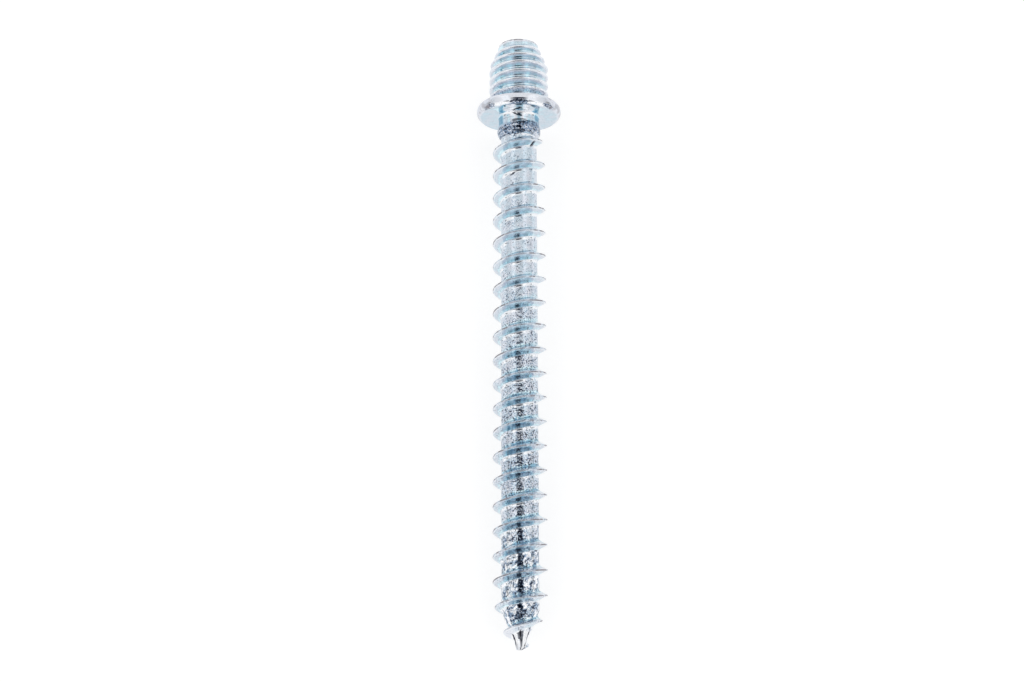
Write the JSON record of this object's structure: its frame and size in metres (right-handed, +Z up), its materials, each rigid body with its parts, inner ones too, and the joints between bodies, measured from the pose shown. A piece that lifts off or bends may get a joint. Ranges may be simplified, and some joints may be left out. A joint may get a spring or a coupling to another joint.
{
  "type": "collared coach screw",
  "caption": "Coach screw with a short machine-threaded stub, a round collar and a coarse wood thread that ends in a gimlet point.",
  "frame": {"origin": "centre of the bounding box's bottom: the screw lies on its side on Z = 0, on the collar's rim and one crest of the wood thread", "axes": "+Y along the screw towards the machine-threaded stub, which the collar lifts by about 1.9 degrees; +Z up; +X to the side on which the first crest starts"},
  "size_m": [0.0112, 0.0818, 0.0113],
  "materials": {
    "zinc_plated_steel": "bright blue-white zinc plating, satin on the collar and core, bright on the flanks"
  },
  "bodies": {
    "root": {"coach_screw": "zinc_plated_steel"}
  },
  "joints": []
}
